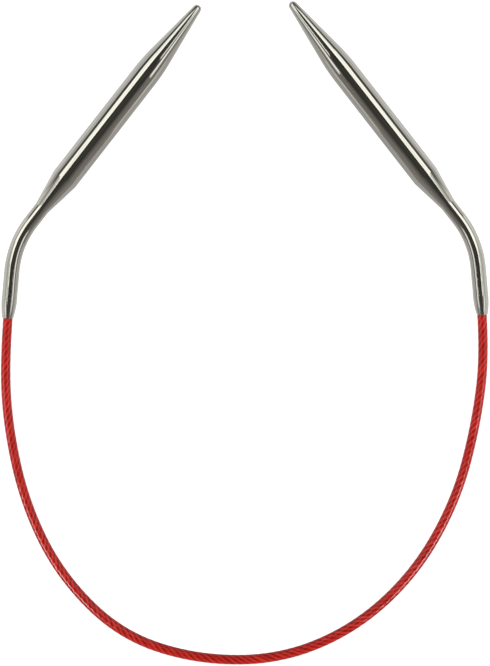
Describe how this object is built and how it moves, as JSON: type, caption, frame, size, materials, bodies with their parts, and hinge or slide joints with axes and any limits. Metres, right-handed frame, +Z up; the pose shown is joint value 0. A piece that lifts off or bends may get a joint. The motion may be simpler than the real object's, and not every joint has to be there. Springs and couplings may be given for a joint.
{
  "type": "circular knitting needle",
  "caption": "Fixed circular knitting needle: polished steel needles with bent necks, joined by a flexible red jacketed wire-rope cable in an open loop.",
  "frame": {"origin": "on the surface that the part lies on, midway between the two needles' outer edges in X and in Y", "axes": "+Y towards the points, +X to the right, +Z up from the surface; the loop of cable lies towards -Y"},
  "size_m": [0.0677, 0.092, 0.0037],
  "materials": {
    "polished_steel": "mirror-polished stainless steel",
    "red_nylon": "glossy red nylon, clear enough to show the rope's lay",
    "rope_steel": "bright drawn steel wire"
  },
  "bodies": {
    "loop": {"jacket_left_lower_bend": "red_nylon", "rope_left_lower_bend": "rope_steel", "jacket_loop": "red_nylon", "rope_loop": "rope_steel", "jacket_right_lower_bend": "red_nylon", "rope_right_lower_bend": "rope_steel"},
    "left_run": {"jacket_left_run": "red_nylon", "rope_left_run": "rope_steel", "jacket_left_upper_bend": "red_nylon", "rope_left_upper_bend": "rope_steel"},
    "left_needle": {"left_needle": "polished_steel", "jacket_left_end": "red_nylon", "rope_left_end": "rope_steel"},
    "right_run": {"jacket_right_run": "red_nylon", "rope_right_run": "rope_steel", "jacket_right_upper_bend": "red_nylon", "rope_right_upper_bend": "rope_steel"},
    "right_needle": {"right_needle": "polished_steel", "jacket_right_end": "red_nylon", "rope_right_end": "rope_steel"}
  },
  "joints": [
    {"name": "left_swing", "type": "hinge", "parent": "loop", "child": "left_run", "pos_m": [-0.01709, -0.0653, 0.00068], "axis": [0, 0, 1], "range_deg": [-4, 45], "stiffness_Nm_per_rad": 0.007, "deforming": ["jacket_left_lower_bend", "rope_left_lower_bend"]},
    {"name": "right_swing", "type": "hinge", "parent": "loop", "child": "right_run", "pos_m": [0.01496, -0.06463, 0.00068], "axis": [0, 0, -1], "range_deg": [-4, 45], "stiffness_Nm_per_rad": 0.007, "deforming": ["jacket_right_lower_bend", "rope_right_lower_bend"]},
    {"name": "left_lift", "type": "hinge", "parent": "left_run", "child": "left_needle", "pos_m": [-0.0328, -0.03638, 0.00081], "axis": [0.9927, 0.1202, 0], "range_deg": [0, 60], "stiffness_Nm_per_rad": 0.007, "deforming": ["jacket_left_upper_bend", "rope_left_upper_bend"]},
    {"name": "right_lift", "type": "hinge", "parent": "right_run", "child": "right_needle", "pos_m": [0.03193, -0.03658, 0.00081], "axis": [0.9829, -0.1843, 0], "range_deg": [0, 60], "stiffness_Nm_per_rad": 0.007, "deforming": ["jacket_right_upper_bend", "rope_right_upper_bend"]}
  ]
}
